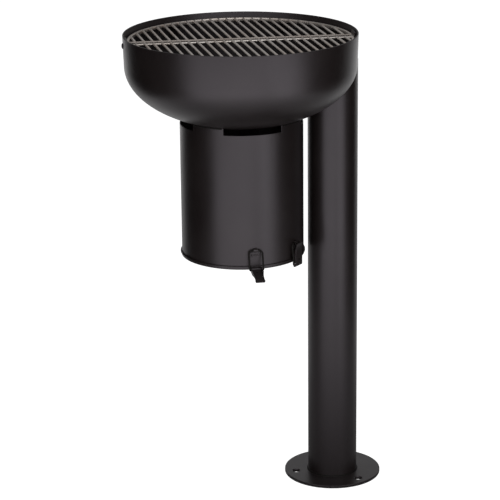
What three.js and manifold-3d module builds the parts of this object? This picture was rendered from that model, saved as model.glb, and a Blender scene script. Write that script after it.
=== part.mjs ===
// Round charcoal grill for parks: a steel bowl with a folding cooking grate, carried beside an
// upright post, with an ash drum under it whose latched lid swings down.
// Millimetres, +Z up. The origin is the centre of the base flange's underside, on the post's
// axis. +X points from the bowl to the post, and -Y is the side with the latches.

import * as THREE from "three";
import { mergeVertices } from "three/addons/utils/BufferGeometryUtils.js";
import Module from "manifold-3d";

const wasm = await Module();
wasm.setup();

// Clearances
const SEAT_GAP = 0.3;
const RUN_GAP = 0.4;
const OVERRUN = 30;

// Post and floor flange
const POST_DIAMETER = 101.6;
const POST_WALL = 3.6;
const POST_TOP_DROP = 1.5;
const FLANGE_DIAMETER = 200;
const FLANGE_THICKNESS = 6;
const ANCHOR_CIRCLE_DIAMETER = 156;
const ANCHOR_HOLE_DIAMETER = 14;
const ANCHOR_COUNT = 3;

// Charcoal bowl
const RIM_HEIGHT = 948;
const BOWL_DIAMETER = 466;
const BOWL_SHEET = 3;
const BOWL_WALL_DEPTH = 61;
const BOWL_DRAFT = 1.7;
const BOWL_ROUND_DEPTH = 123;
const ASH_HOLE_DIAMETER = 200;

// Fire grate on the bowl's floor
const FIRE_GRATE_LAP = 15;
const FIRE_GRATE_THICKNESS = 5;
const FIRE_SLOT_WIDTH = 11;
const FIRE_SLOT_PITCH = 25;
const FIRE_GRATE_BORDER = 16;

// Ash drum
const DRUM_DIAMETER = 247;
const DRUM_SHEET = 2.5;
const DRUM_TO_POST_GAP = 13.2;
const NOTCH_COUNT = 4;
const NOTCH_DEGREES = 56;
const NOTCH_HEIGHT = 14;

// Ash lid
const LID_BOTTOM_HEIGHT = 497;
const LID_SHEET = 1.1;
const LID_DEPTH = 7.2;
const LID_EDGE_ROUND = 1.6;
const HEM_WIDTH = 1.4;
const HEM_HEIGHT = 2.4;

// Folding cooking grate
const GRATE_TURN_DEGREES = -4;
const GRATE_DROP = 10.5;
const GRATE_DIAMETER = 450;
const GRATE_HEIGHT = 8;
const GRATE_RING_WIDTH = 5;
const GRATE_BAR_DIAMETER = 5.6;
const GRATE_BAR_PITCH = 17.3;
const GRATE_BAR_SKEW_DEGREES = 5;
const GRATE_ROD_SPACING = 20;
const SPIGOT_DIAMETER = 6;

// Pivot plates and their bolts
const PIVOT_PLATE_WIDTH = 34;
const PIVOT_PLATE_HEIGHT = 27;
const PIVOT_PLATE_SHEET = 3;
const BOLT_DIAMETER = 6;
const BOLT_DROP = 18;
const BOLT_HEAD_DIAMETER = 11;
const BOLT_HEAD_HEIGHT = 2.6;
const BOLT_DOME_SHARES = [[0.92, 0.5], [0.6, 0.88]];
const NUT_ACROSS_FLATS = 10;
const NUT_SIDES = 6;
const NUT_HEIGHT = 5;
const BOLT_THREAD_BEYOND = 1.5;

// Lugs that carry the grate's rings
const LUG_POLAR_DEGREES = [-120, -60, 60, 120];
const LUG_WIDTH = 22;
const LUG_HEIGHT = 22;
const LUG_REACH = 14;
const LUG_SHEET = 3;

// Lid hinge
const HINGE_POLAR_DEGREES = 115;
const HINGE_SHEET = 1.5;
const HINGE_WIDTH = 40;
const HINGE_LEAF_HEIGHT = 20;
const HINGE_JOGGLE_HEIGHT = 4.5;
const HINGE_RISE = 1.5;
const HINGE_PIN_DIAMETER = 3.6;
const PIN_HEAD_DIAMETER = 5.8;
const LID_KNUCKLE_WIDTH = 15.2;
const LID_STRAP_LENGTH = 34;
const HINGE_RIVET_SPACING = 26;
const LEAF_RIVET_SHARE = 0.6;
const STRAP_RIVET_SPACING = 14;
const STRAP_RIVET_SHARE = 0.4;

// Rivets
const RIVET_DIAMETER = 3;
const RIVET_HEAD_DIAMETER = 5;
const RIVET_HEAD_HEIGHT = 1.3;
const RIVET_DOME_WIDTH_SHARE = 0.7;
const RIVET_DOME_HEIGHT_SHARE = 0.8;

// Toggle latches
const LATCH_SHEET = 1.5;
const SADDLE_SHEET = 1.2;
const SADDLE_WIDTH = 18;
const SADDLE_HEIGHT = 10.5;
const SADDLE_EYE_WIDTH = 9;
const SADDLE_ROLL_END_DEGREES = -60;
const SADDLE_RIVET_SPACING = 6;
const SADDLE_RIVET_COUNT = 3;
const SADDLE_RIVET_DROP = 9.7;
const BAIL_WIRE = 3.5;
const BAIL_RISE = 38.5;
const BAIL_CORNER = 7;
const BAIL_FOOT_CORNER = 2.4;
const BAIL_SWING_SHARE = 0.085;
const LEVER_WIDTH = 23.2;
const LEVER_WAIST_WIDTH = 18.6;
const LEVER_WAIST_SHARE = 0.58;
const LEVER_TIP_WIDTH = 20;
const LEVER_TIP_SHARE = 0.93;
const LEVER_TIP_CORNER_SHARE = 0.85;
const LEVER_FLANGE_END_SHARE = 0.3;
const LEVER_BEND_SHARE = 0.8;
const LEVER_REACH = 39;
const LEVER_HEEL = 9.6;
const LEVER_BACK = 4;
const LEVER_FLANGE = 4.2;
const LEVER_CURL = 2.2;
const LEVER_NOSE_RISE = 3.3;
const LEVER_NOSE_HEIGHT = 1.5;
const LEVER_NOSE_TIP_SHARE = 0.3;
const LEVER_HEEL_CORNER_SHARES = [0.4, 0.5];
const LEVER_HOLE_DIAMETER = 4;
const FRONT_LATCH_POLAR_DEGREES = -90;
const RIGHT_LATCH_POLAR_DEGREES = -45;
const LEVER_OPEN_DEGREES = 112;

// Facets of the round pieces
const BOWL_FACETS = 64;
const BOWL_ROUND_STEPS = 8;
const POST_FACETS = 48;
const RING_FACETS = 40;
const ROD_FACETS = 12;
const BAR_FACETS = 6;
const SMALL_FACETS = 10;
const SLOT_END_STEPS = 3;
const WIRE_FACETS = 8;
const WIRE_STEPS = 30;

// Finishes
const BLACK_COAT = { color: 0x232123, roughness: 0.42, metalness: 0.1 };
const GRATE_STEEL = { color: 0x8d857e, roughness: 0.45, metalness: 0.85 };
const FIRE_IRON = { color: 0x3a3532, roughness: 0.8, metalness: 0.4 };
const ZINC_STEEL = { color: 0x6f6d6c, roughness: 0.4, metalness: 0.8 };

// Places that several pieces share
const rad = THREE.MathUtils.degToRad;
const postRadius = POST_DIAMETER / 2;
const drumRadius = DRUM_DIAMETER / 2;
const bowlOffset = postRadius + DRUM_TO_POST_GAP + drumRadius;
const roundTop = RIM_HEIGHT - BOWL_WALL_DEPTH;
const rimRadius = BOWL_DIAMETER / 2;
const roundRadius = rimRadius - BOWL_DRAFT;
const facetShare = Math.cos(Math.PI / BOWL_FACETS);
const lidInnerRadius = drumRadius + RUN_GAP;
const lidRadius = lidInnerRadius + LID_SHEET;
const hemRadius = lidRadius + HEM_WIDTH;
const lidTop = LID_BOTTOM_HEIGHT + LID_DEPTH;
const lidFloorTop = LID_BOTTOM_HEIGHT + LID_SHEET;
const drumBottom = lidFloorTop + SEAT_GAP;
const hemBottom = lidTop - HEM_HEIGHT;
const rivetHoleRadius = RIVET_DIAMETER / 2 + SEAT_GAP;

// A closed mesh as a solid that can be joined and cut
function solidOf(geometry) {
  const bare = geometry.index ? geometry.toNonIndexed() : geometry.clone();
  bare.deleteAttribute("normal");
  bare.deleteAttribute("uv");
  const merged = mergeVertices(bare);
  const corners = merged.index.array;
  const kept = [];
  for (let i = 0; i < corners.length; i += 3) {
    const [a, b, c] = [corners[i], corners[i + 1], corners[i + 2]];
    if (a !== b && b !== c && c !== a) {
      kept.push(a, b, c);
    }
  }
  const vertProperties = new Float32Array(merged.attributes.position.array);
  return new wasm.Manifold(new wasm.Mesh({ numProp: 3, vertProperties, triVerts: new Uint32Array(kept) }));
}

function geometryOf(solid) {
  const mesh = solid.getMesh();
  const geometry = new THREE.BufferGeometry();
  geometry.setAttribute("position", new THREE.BufferAttribute(new Float32Array(mesh.vertProperties), 3));
  geometry.setIndex(new THREE.BufferAttribute(new Uint32Array(mesh.triVerts), 1));
  geometry.computeVertexNormals();
  return geometry;
}

function joined(geometries) {
  return geometries.map(solidOf).reduce((whole, piece) => whole.add(piece));
}

function cutBy(solid, geometries) {
  return geometries.reduce((whole, cutter) => whole.subtract(solidOf(cutter)), solid);
}

// A profile of [radius, height] pairs turned about the Z axis
function revolve(profile, facets) {
  const points = profile.map(([radius, height]) => new THREE.Vector2(radius, height));
  return new THREE.LatheGeometry(points, facets).rotateX(Math.PI / 2);
}

// A plan outline raised from one height to another
function raise(shape, from, to, curveSegments = BOWL_FACETS / 2) {
  const geometry = new THREE.ExtrudeGeometry(shape, { depth: to - from, bevelEnabled: false, curveSegments });
  return geometry.translate(0, 0, from);
}

// A side view of X and Z, as wide as given along Y
function across(shape, width, curveSegments = SMALL_FACETS) {
  const geometry = new THREE.ExtrudeGeometry(shape, { depth: width, bevelEnabled: false, curveSegments });
  return geometry.rotateX(Math.PI / 2).translate(0, width / 2, 0);
}

// A front view of Y and Z, from one X to another
function outward(shape, from, to, curveSegments = SMALL_FACETS) {
  const geometry = new THREE.ExtrudeGeometry(shape, { depth: to - from, bevelEnabled: false, curveSegments });
  return geometry.rotateY(Math.PI / 2).rotateX(Math.PI / 2).translate(from, 0, 0);
}

function outline(points) {
  return new THREE.Shape(points.map(([x, y]) => new THREE.Vector2(x, y)));
}

function rectangle(left, right, bottom, top) {
  return outline([[left, bottom], [right, bottom], [right, top], [left, top]]);
}

function circle(x, y, radius) {
  const shape = new THREE.Shape();
  shape.absarc(x, y, radius, 0, Math.PI * 2, false);
  return shape;
}

// A ring's sector between two radii and two angles
function sector(inner, outer, fromAngle, toAngle) {
  const shape = new THREE.Shape();
  shape.absarc(0, 0, outer, fromAngle, toAngle, false);
  shape.absarc(0, 0, inner, toAngle, fromAngle, true);
  return shape;
}

function rodAlongX(radius, from, to, y, z, facets) {
  const rod = new THREE.CylinderGeometry(radius, radius, to - from, facets);
  return rod.rotateZ(Math.PI / 2).translate((from + to) / 2, y, z);
}

function rodAlongY(radius, from, to, x, z, facets) {
  const rod = new THREE.CylinderGeometry(radius, radius, to - from, facets);
  return rod.rotateY(Math.PI / facets).translate(x, (from + to) / 2, z);
}

const grill = new THREE.Group();
const bowlAxis = new THREE.Group();
bowlAxis.position.x = -bowlOffset;
grill.add(bowlAxis);

function place(parent, name, solid, finish) {
  const mesh = new THREE.Mesh(geometryOf(solid), new THREE.MeshStandardMaterial(finish));
  mesh.name = name;
  parent.add(mesh);
}

// The bowl's round bottom, from a radius out to the foot of its wall
function roundBottom(fromRadius, offset) {
  const radius = roundRadius + offset;
  const depth = BOWL_ROUND_DEPTH + offset;
  const start = Math.asin(fromRadius / radius);
  const points = [];
  for (let i = 0; i <= BOWL_ROUND_STEPS; i += 1) {
    const angle = start + ((Math.PI / 2 - start) * i) / BOWL_ROUND_STEPS;
    points.push([radius * Math.sin(angle), roundTop - depth * Math.cos(angle)]);
  }
  return points;
}

// The bowl's wall surface as a full body: offset outwards it cuts what the bowl rests on, and
// offset inwards it is the room inside
function bowlBody(offset) {
  const round = roundBottom(ASH_HOLE_DIAMETER / 2, offset);
  const profile = [[0, round[0][1]], ...round, [rimRadius + offset, RIM_HEIGHT], [0, RIM_HEIGHT]];
  return revolve(profile, BOWL_FACETS);
}

function bowlInnerRadius(height) {
  const share = Math.min(1, (height - roundTop) / BOWL_WALL_DEPTH);
  return (roundRadius + BOWL_DRAFT * share - BOWL_SHEET) * facetShare;
}

// The faceted floor's height inside the bowl, at a radius
function bowlFloorHeight(radius) {
  const floor = roundBottom(ASH_HOLE_DIAMETER / 2, -BOWL_SHEET);
  const outer = floor.findIndex(([reach]) => reach * facetShare > radius);
  const [[fromRadius, fromHeight], [toRadius, toHeight]] = [floor[outer - 1], floor[outer]];
  const share = (radius / facetShare - fromRadius) / (toRadius - fromRadius);
  return fromHeight + (toHeight - fromHeight) * share;
}

const rodHeight = RIM_HEIGHT - GRATE_DROP - GRATE_HEIGHT / 2;
const boltHeight = RIM_HEIGHT - BOLT_DROP;
const plateBack = bowlInnerRadius(boltHeight - PIVOT_PLATE_HEIGHT / 2) - SEAT_GAP;
const plateBackAtCorner = Math.sqrt(plateBack ** 2 - (PIVOT_PLATE_WIDTH / 2) ** 2);
const plateFace = plateBackAtCorner - PIVOT_PLATE_SHEET;

const boltHoles = [0, Math.PI].map((angle) => {
  const hole = rodAlongX(BOLT_DIAMETER / 2 + SEAT_GAP, plateFace, rimRadius + OVERRUN, 0, boltHeight, ROD_FACETS);
  return hole.rotateZ(angle + rad(GRATE_TURN_DEGREES));
});

function bowlShell() {
  const inner = roundBottom(ASH_HOLE_DIAMETER / 2, -BOWL_SHEET).reverse();
  const outer = roundBottom(ASH_HOLE_DIAMETER / 2, 0);
  const rim = [[rimRadius, RIM_HEIGHT], [rimRadius - BOWL_SHEET, RIM_HEIGHT]];
  const profile = [...outer, ...rim, ...inner, outer[0]];
  return cutBy(solidOf(revolve(profile, BOWL_FACETS)), boltHoles);
}

function baseFlange() {
  const plate = circle(0, 0, FLANGE_DIAMETER / 2);
  for (let i = 0; i < ANCHOR_COUNT; i += 1) {
    const angle = Math.PI + (i * Math.PI * 2) / ANCHOR_COUNT;
    const reach = ANCHOR_CIRCLE_DIAMETER / 2;
    const hole = circle(reach * Math.cos(angle), reach * Math.sin(angle), ANCHOR_HOLE_DIAMETER / 2);
    plate.holes.push(new THREE.Path(hole.getPoints(SMALL_FACETS)));
  }
  return solidOf(raise(plate, 0, FLANGE_THICKNESS, POST_FACETS / 2));
}

// The post's tube, coped to the bowl's underside
function postTube() {
  const bore = postRadius - POST_WALL;
  const top = roundTop - POST_TOP_DROP;
  const wall = [[bore, FLANGE_THICKNESS], [postRadius, FLANGE_THICKNESS], [postRadius, top], [bore, top]];
  const tube = revolve([...wall, wall[0]], POST_FACETS);
  return cutBy(solidOf(tube), [bowlBody(SEAT_GAP).translate(-bowlOffset, 0, 0)]);
}

const latchPolars = { front: FRONT_LATCH_POLAR_DEGREES, right: RIGHT_LATCH_POLAR_DEGREES };

// The latch's hinge points when it is closed, measured from the drum's axis
const pivotRadius = hemRadius + RUN_GAP + LEVER_FLANGE;
const pivotHeight = hemBottom - SEAT_GAP - LEVER_NOSE_RISE;
const eyeRadius = BAIL_WIRE / 2 + RUN_GAP + SADDLE_SHEET;
const saddleBack = drumRadius + SEAT_GAP;
const bailRadius = saddleBack + eyeRadius;
const bailHeight = pivotHeight + BAIL_RISE;
const bailLength = Math.hypot(pivotRadius - bailRadius, BAIL_RISE);
const bailLean = Math.atan2(pivotRadius - bailRadius, BAIL_RISE);
const saddleRivetHeight = bailHeight - SADDLE_RIVET_DROP;

function spread(count, spacing) {
  return Array.from({ length: count }, (_, i) => (i - (count - 1) / 2) * spacing);
}

const leafBottom = lidTop + HINGE_RISE + HINGE_PIN_DIAMETER / 2 + SEAT_GAP + HINGE_SHEET;
const leafRivetHeight = leafBottom + HINGE_LEAF_HEIGHT * LEAF_RIVET_SHARE;
const leafRivetPolars = spread(2, HINGE_RIVET_SPACING).map((y) => Math.asin(y / drumRadius));

// A hole for a rivet through the drum, and through what is riveted to it
function rivetHole(y, height) {
  return rodAlongX(rivetHoleRadius, drumRadius - OVERRUN, drumRadius + OVERRUN, y, height, SMALL_FACETS);
}

const drumRivetHoles = Object.values(latchPolars).flatMap((polar) =>
  spread(SADDLE_RIVET_COUNT, SADDLE_RIVET_SPACING).map((y) =>
    rivetHole(y, saddleRivetHeight).rotateZ(rad(polar)),
  ),
);
const leafRivetHoles = leafRivetPolars.map((angle) => rivetHole(0, leafRivetHeight).rotateZ(angle));

// The drum's tube: its top is coped to the bowl, with an air notch on each side
function drumShell() {
  const bore = drumRadius - DRUM_SHEET;
  const wall = [[bore, drumBottom], [drumRadius, drumBottom], [drumRadius, roundTop], [bore, roundTop]];
  const tube = revolve([...wall, wall[0]], BOWL_FACETS);
  const notchBottom = roundTop - BOWL_ROUND_DEPTH * Math.sqrt(1 - (drumRadius / roundRadius) ** 2) - NOTCH_HEIGHT;
  const half = rad(NOTCH_DEGREES) / 2;
  const notches = Array.from({ length: NOTCH_COUNT }, (_, i) => {
    const notch = sector(bore / 2, drumRadius + OVERRUN, -half, half);
    return raise(notch, notchBottom, roundTop + OVERRUN, SMALL_FACETS).rotateZ((i * Math.PI * 2) / NOTCH_COUNT);
  });
  const leafHoles = leafRivetHoles.map((hole) => hole.clone().rotateZ(rad(HINGE_POLAR_DEGREES)));
  return cutBy(solidOf(tube), [bowlBody(SEAT_GAP), ...notches, ...drumRivetHoles, ...leafHoles]);
}

// A round plate with parallel slots, bedded on the bowl's floor over the ash hole
function fireGrate() {
  const radius = ASH_HOLE_DIAMETER / 2 + FIRE_GRATE_LAP;
  const bottom = bowlFloorHeight(radius) + SEAT_GAP;
  const plate = circle(0, 0, radius);
  const clear = radius - FIRE_GRATE_BORDER;
  const rows = 2 * Math.floor(clear / FIRE_SLOT_PITCH) + 1;
  const slotRadius = FIRE_SLOT_WIDTH / 2;
  spread(rows, FIRE_SLOT_PITCH).forEach((y) => {
    const reach = Math.sqrt(Math.max(0, clear ** 2 - y ** 2)) - slotRadius;
    if (reach > slotRadius) {
      const ends = new THREE.Path();
      ends.absarc(reach, y, slotRadius, -Math.PI / 2, Math.PI / 2, false);
      ends.absarc(-reach, y, slotRadius, Math.PI / 2, (Math.PI * 3) / 2, false);
      plate.holes.push(new THREE.Path(ends.getPoints(SLOT_END_STEPS)));
    }
  });
  return solidOf(raise(plate, bottom, bottom + FIRE_GRATE_THICKNESS));
}

// One half of the cooking grate: a straight rod with turned-down ends, a half ring and the bars,
// which stand a little askew of the rod
function grateHalf(side) {
  const rodY = GRATE_ROD_SPACING / 2;
  const rodEnd = plateFace - RUN_GAP;
  const spigotEnd = plateBackAtCorner - RUN_GAP;
  const outer = Math.min(GRATE_DIAMETER / 2, rodEnd);
  const inner = outer - GRATE_RING_WIDTH;
  const barRadius = GRATE_BAR_DIAMETER / 2;
  const barHeight = rodHeight + GRATE_HEIGHT / 2 - barRadius;
  const ring = new THREE.Shape();
  ring.absarc(0, 0, outer, Math.asin(rodY / outer), Math.PI - Math.asin(rodY / outer), false);
  ring.absarc(0, 0, inner, Math.PI - Math.asin(rodY / inner), Math.asin(rodY / inner), true);
  const ringBottom = rodHeight - GRATE_HEIGHT / 2;
  const pieces = [
    rodAlongX(GRATE_HEIGHT / 2, -rodEnd, rodEnd, rodY, rodHeight, ROD_FACETS),
    rodAlongX(SPIGOT_DIAMETER / 2, -spigotEnd, spigotEnd, rodY, rodHeight, ROD_FACETS),
    raise(ring, ringBottom, ringBottom + GRATE_HEIGHT, RING_FACETS / 2),
  ];
  const count = 2 * Math.floor((inner - GRATE_RING_WIDTH) / GRATE_BAR_PITCH) + 1;
  const middle = inner + GRATE_RING_WIDTH / 2;
  const skew = rad(GRATE_BAR_SKEW_DEGREES);
  spread(count, GRATE_BAR_PITCH).forEach((x) => {
    const ahead = rodY * Math.cos(skew) - x * Math.sin(skew);
    const length = Math.sqrt(ahead ** 2 + middle ** 2 - x ** 2 - rodY ** 2) - ahead;
    const bar = rodAlongY(barRadius, 0, length, 0, barHeight, BAR_FACETS);
    pieces.push(bar.rotateZ(skew).translate(x, rodY, 0));
  });
  const whole = joined(pieces);
  return side > 0 ? whole : whole.rotate([0, 0, 180]);
}

// A flat plate inside the wall with a hole for each half's spigot
function pivotPlate(angle) {
  const half = PIVOT_PLATE_WIDTH / 2;
  const bottom = boltHeight - PIVOT_PLATE_HEIGHT / 2;
  const plate = outward(rectangle(-half, half, bottom, bottom + PIVOT_PLATE_HEIGHT), plateFace, plateBackAtCorner);
  const spigotHole = SPIGOT_DIAMETER / 2 + RUN_GAP;
  const holes = spread(2, GRATE_ROD_SPACING).map((y) =>
    rodAlongX(spigotHole, plateFace - OVERRUN, plateBackAtCorner + OVERRUN, y, rodHeight, ROD_FACETS),
  );
  const boltHole = rodAlongX(
    BOLT_DIAMETER / 2 + SEAT_GAP, plateFace - OVERRUN, plateBackAtCorner + OVERRUN, 0, boltHeight, ROD_FACETS,
  );
  return cutBy(solidOf(plate), [...holes, boltHole]).rotate([0, 0, angle]);
}

// A domed bolt from outside, through the wall and the pivot plate
function pivotBolt(angle) {
  const wallFace = rimRadius - (BOWL_DRAFT * BOLT_DROP) / BOWL_WALL_DEPTH + SEAT_GAP;
  const nutEnd = plateFace - SEAT_GAP - NUT_HEIGHT;
  const shank = BOLT_DIAMETER / 2;
  const head = BOLT_HEAD_DIAMETER / 2;
  const dome = BOLT_DOME_SHARES.map(([wide, high]) => [head * wide, wallFace + BOLT_HEAD_HEIGHT * high]);
  const profile = [
    [0, nutEnd - BOLT_THREAD_BEYOND], [shank, nutEnd - BOLT_THREAD_BEYOND], [shank, wallFace],
    [head, wallFace], ...dome, [0, wallFace + BOLT_HEAD_HEIGHT],
  ];
  const bolt = revolve(profile, ROD_FACETS).rotateY(Math.PI / 2).translate(0, 0, boltHeight);
  return solidOf(bolt).rotate([0, 0, angle]);
}

function pivotNut(angle) {
  const radius = NUT_ACROSS_FLATS / Math.sqrt(3);
  const end = plateFace - SEAT_GAP;
  const nut = rodAlongX(radius, end - NUT_HEIGHT, end, 0, boltHeight, NUT_SIDES);
  const bore = rodAlongX(BOLT_DIAMETER / 2 + SEAT_GAP, end - OVERRUN, end + OVERRUN, 0, boltHeight, ROD_FACETS);
  return cutBy(solidOf(nut), [bore]).rotate([0, 0, angle]);
}

// A bent tab inside the wall, under the grate's ring
function restLug(polar) {
  const top = rodHeight - GRATE_HEIGHT / 2 - SEAT_GAP;
  const wall = bowlInnerRadius(top - LUG_HEIGHT);
  const tab = outline([
    [wall - LUG_SHEET, top - LUG_HEIGHT], [wall + OVERRUN, top - LUG_HEIGHT], [wall + OVERRUN, top],
    [wall - LUG_REACH, top], [wall - LUG_REACH, top - LUG_SHEET], [wall - LUG_SHEET, top - LUG_SHEET],
  ]);
  const solid = solidOf(across(tab, LUG_WIDTH)).rotate([0, 0, polar + GRATE_TURN_DEGREES]);
  return solid.intersect(solidOf(bowlBody(-BOWL_SHEET - SEAT_GAP)));
}

// The lid: a shallow cap over the drum's end, its edge turned out in a hem
function ashLid() {
  const profile = [
    [0, LID_BOTTOM_HEIGHT], [lidRadius - LID_EDGE_ROUND, LID_BOTTOM_HEIGHT],
    [lidRadius, LID_BOTTOM_HEIGHT + LID_EDGE_ROUND], [lidRadius, hemBottom],
    [hemRadius, hemBottom], [hemRadius, lidTop], [lidInnerRadius, lidTop],
    [lidInnerRadius, lidFloorTop], [0, lidFloorTop],
  ];
  return cutBy(solidOf(revolve(profile, BOWL_FACETS)), strapRivetHoles.map((hole) => hole.clone()));
}

// The hinge's pin, just outside the lid's hem
const knuckleRadius = HINGE_PIN_DIAMETER / 2 + SEAT_GAP + HINGE_SHEET;
const strapBack = hemRadius + RUN_GAP;
const pinRadius = strapBack + knuckleRadius;
const pinHeight = lidTop + HINGE_RISE;
const strapTop = LID_BOTTOM_HEIGHT - SEAT_GAP;
const strapEnd = strapBack - LID_STRAP_LENGTH;
const strapRivetMiddle = strapEnd + LID_STRAP_LENGTH * STRAP_RIVET_SHARE;
const strapRivetRadii = spread(2, STRAP_RIVET_SPACING).map((x) => strapRivetMiddle + x);
const strapRivetHoles = strapRivetRadii.map((x) => {
  const hole = raise(circle(x, 0, rivetHoleRadius), strapTop - OVERRUN, lidFloorTop + OVERRUN, SMALL_FACETS / 2);
  return hole.rotateZ(rad(HINGE_POLAR_DEGREES));
});

function knuckle(from, to) {
  return rodAlongY(knuckleRadius, from, to, pinRadius, pinHeight, ROD_FACETS);
}

function pinBore() {
  const half = HINGE_WIDTH / 2 + OVERRUN;
  return rodAlongY(HINGE_PIN_DIAMETER / 2 + SEAT_GAP, -half, half, pinRadius, pinHeight, ROD_FACETS);
}

// The drum's leaf: a curved plate with a knuckle at each end
function hingeLeafDrum() {
  const inner = drumRadius + SEAT_GAP;
  const outer = inner + HINGE_SHEET;
  const half = Math.asin(HINGE_WIDTH / 2 / outer);
  const leafTop = leafBottom + HINGE_LEAF_HEIGHT;
  const leaf = raise(sector(inner / 2, outer, -half, half), leafBottom, leafTop, SMALL_FACETS);
  const joggle = outline([
    [strapBack, pinHeight], [strapBack + HINGE_SHEET, pinHeight],
    [strapBack + HINGE_SHEET, leafBottom], [outer, leafBottom + HINGE_JOGGLE_HEIGHT],
    [inner - HINGE_SHEET, leafBottom + HINGE_JOGGLE_HEIGHT], [inner - HINGE_SHEET, leafBottom],
  ]);
  const innerEnd = LID_KNUCKLE_WIDTH / 2 + RUN_GAP;
  const width = HINGE_WIDTH / 2 - innerEnd;
  const middle = innerEnd + width / 2;
  const pieces = [leaf];
  [-1, 1].forEach((side) => {
    pieces.push(across(joggle, width).translate(0, side * middle, 0));
    pieces.push(knuckle(side * middle - width / 2, side * middle + width / 2));
  });
  const drumRoom = revolve([[0, 0], [inner, 0], [inner, roundTop], [0, roundTop]], BOWL_FACETS);
  const cutters = [drumRoom.rotateZ(-rad(HINGE_POLAR_DEGREES)), pinBore(), ...leafRivetHoles];
  return cutBy(joined(pieces), cutters);
}

// The lid's leaf: a strap from the middle knuckle, down past the hem and under the lid
function hingeLeafLid() {
  const bottom = strapTop - HINGE_SHEET;
  const strap = outline([
    [strapBack, pinHeight], [strapBack, strapTop], [strapEnd, strapTop], [strapEnd, bottom],
    [strapBack + HINGE_SHEET, bottom], [strapBack + HINGE_SHEET, pinHeight],
  ]);
  const half = LID_KNUCKLE_WIDTH / 2;
  const solid = joined([across(strap, LID_KNUCKLE_WIDTH), knuckle(-half, half)]);
  const holes = strapRivetHoles.map((hole) => hole.clone().rotateZ(-rad(HINGE_POLAR_DEGREES)));
  return cutBy(solid, [pinBore(), ...holes]);
}

function hingePin() {
  const half = HINGE_WIDTH / 2 + SEAT_GAP;
  const radius = HINGE_PIN_DIAMETER / 2;
  const head = PIN_HEAD_DIAMETER / 2;
  const headEnd = half + HINGE_SHEET;
  const profile = [
    [0, -headEnd], [head, -headEnd], [head, -half], [radius, -half],
    [radius, half], [head, half], [head, headEnd], [0, headEnd],
  ];
  return solidOf(revolve(profile, ROD_FACETS).rotateX(Math.PI / 2).translate(pinRadius, 0, pinHeight));
}

// A rivet along +X, its domed head outside, gripping from one face to another
function rivet(innerFace, outerFace) {
  const shank = RIVET_DIAMETER / 2;
  const head = RIVET_HEAD_DIAMETER / 2;
  const inside = innerFace - SEAT_GAP;
  const outside = outerFace + SEAT_GAP;
  const domeRadius = head * RIVET_DOME_WIDTH_SHARE;
  const domeHeight = RIVET_HEAD_HEIGHT * RIVET_DOME_HEIGHT_SHARE;
  const profile = [
    [0, inside - RIVET_HEAD_HEIGHT], [domeRadius, inside - domeHeight], [head, inside], [shank, inside],
    [shank, outside], [head, outside], [domeRadius, outside + domeHeight], [0, outside + RIVET_HEAD_HEIGHT],
  ];
  return solidOf(revolve(profile, SMALL_FACETS).rotateY(Math.PI / 2));
}

// The saddle: a riveted plate whose middle strip rolls over the bail's wire
function latchSaddle() {
  const front = saddleBack + SADDLE_SHEET;
  const bottom = saddleRivetHeight - SADDLE_HEIGHT / 2;
  const half = SADDLE_WIDTH / 2;
  const plate = outward(rectangle(-half, half, bottom, bottom + SADDLE_HEIGHT), saddleBack, front);
  const rolled = new THREE.Shape();
  rolled.moveTo(saddleBack, bottom + SADDLE_HEIGHT / 2);
  rolled.lineTo(saddleBack, bailHeight);
  const rollEnd = rad(SADDLE_ROLL_END_DEGREES);
  rolled.absarc(bailRadius, bailHeight, eyeRadius, Math.PI, rollEnd, true);
  rolled.absarc(bailRadius, bailHeight, eyeRadius - SADDLE_SHEET, rollEnd, Math.PI, false);
  rolled.lineTo(front, bottom + SADDLE_HEIGHT / 2);
  const holes = spread(SADDLE_RIVET_COUNT, SADDLE_RIVET_SPACING).map((y) => rivetHole(y, saddleRivetHeight));
  return cutBy(joined([plate, across(rolled, SADDLE_EYE_WIDTH)]), holes);
}

// The bail: one bent wire, hung by its top, its feet turned in to carry the lever
function latchBail() {
  const leg = LEVER_WIDTH / 2 + RUN_GAP + BAIL_WIRE / 2;
  const footEnd = LEVER_WIDTH / 2 - LATCH_SHEET - BAIL_WIRE / 4;
  const at = (y, z) => new THREE.Vector3(0, y, z);
  const path = new THREE.CurvePath();
  const foot = -bailLength;
  path.add(new THREE.LineCurve3(at(-footEnd, foot), at(BAIL_FOOT_CORNER - leg, foot)));
  path.add(new THREE.QuadraticBezierCurve3(
    at(BAIL_FOOT_CORNER - leg, foot), at(-leg, foot), at(-leg, foot + BAIL_FOOT_CORNER),
  ));
  path.add(new THREE.LineCurve3(at(-leg, foot + BAIL_FOOT_CORNER), at(-leg, -BAIL_CORNER)));
  path.add(new THREE.QuadraticBezierCurve3(at(-leg, -BAIL_CORNER), at(-leg, 0), at(BAIL_CORNER - leg, 0)));
  path.add(new THREE.LineCurve3(at(BAIL_CORNER - leg, 0), at(leg - BAIL_CORNER, 0)));
  path.add(new THREE.QuadraticBezierCurve3(at(leg - BAIL_CORNER, 0), at(leg, 0), at(leg, -BAIL_CORNER)));
  path.add(new THREE.LineCurve3(at(leg, -BAIL_CORNER), at(leg, foot + BAIL_FOOT_CORNER)));
  path.add(new THREE.QuadraticBezierCurve3(
    at(leg, foot + BAIL_FOOT_CORNER), at(leg, foot), at(leg - BAIL_FOOT_CORNER, foot),
  ));
  path.add(new THREE.LineCurve3(at(leg - BAIL_FOOT_CORNER, foot), at(footEnd, foot)));
  const options = { steps: WIRE_STEPS, extrudePath: path, bevelEnabled: false, curveSegments: WIRE_FACETS / 2 };
  return solidOf(new THREE.ExtrudeGeometry(circle(0, 0, BAIL_WIRE / 2), options));
}

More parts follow.
